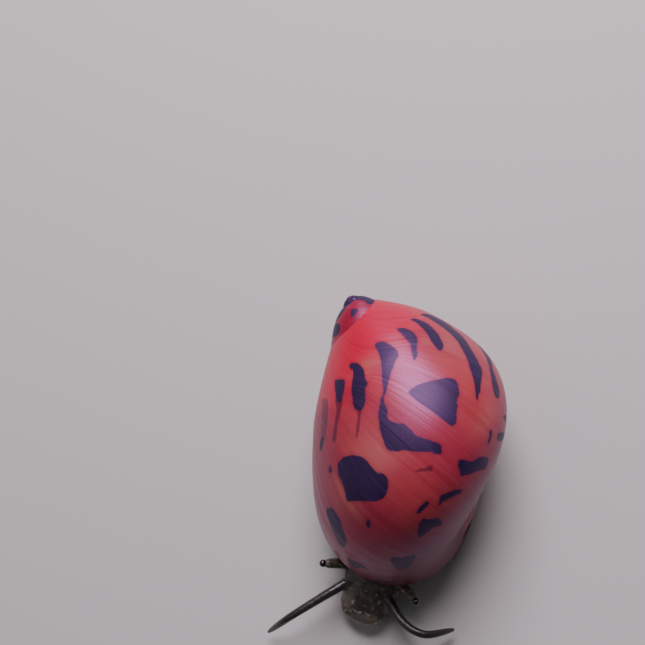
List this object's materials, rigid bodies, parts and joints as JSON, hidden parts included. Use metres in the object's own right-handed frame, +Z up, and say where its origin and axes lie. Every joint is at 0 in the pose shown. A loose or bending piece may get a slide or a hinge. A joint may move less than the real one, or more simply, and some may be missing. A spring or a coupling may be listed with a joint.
{
  "type": "nerite snail",
  "caption": "Life-size crawling nerite snail: glossy orange-red domed shell with dark blotches and a short spire, broad foot, snout, long feelers and stalked eyes.",
  "frame": {"origin": "a point on the flat sole of the foot, near its middle", "axes": "-Y forward to the head, +X to the animal's left, +Z up; the sole lies at z = 0"},
  "size_m": [0.0157, 0.0283, 0.0136],
  "materials": {
    "shell": "glossy orange-red shell with near-black violet blotches",
    "shell_deck": "smooth cream callus",
    "operculum": "satin, fine growth lines",
    "mantle": "moist, mottled",
    "flesh": "moist, grey with dark and pale flecks",
    "tentacle": "moist, fine dark lines",
    "eye": "glossy black bead"
  },
  "bodies": {
    "root": {"shell_body_whorl": "shell", "shell_spire": "shell", "shell_deck": "shell_deck", "mantle": "mantle", "foot": "flesh", "foot_tail": "flesh", "operculum": "operculum", "neck": "flesh", "head": "flesh", "snout": "flesh", "tentacle_right": "tentacle", "tentacle_tip_right": "tentacle", "tentacle_left": "tentacle", "tentacle_tip_left": "tentacle", "eyestalk_right": "flesh", "eyestalk_left": "flesh", "eye_right": "eye", "eye_left": "eye"}
  },
  "joints": []
}
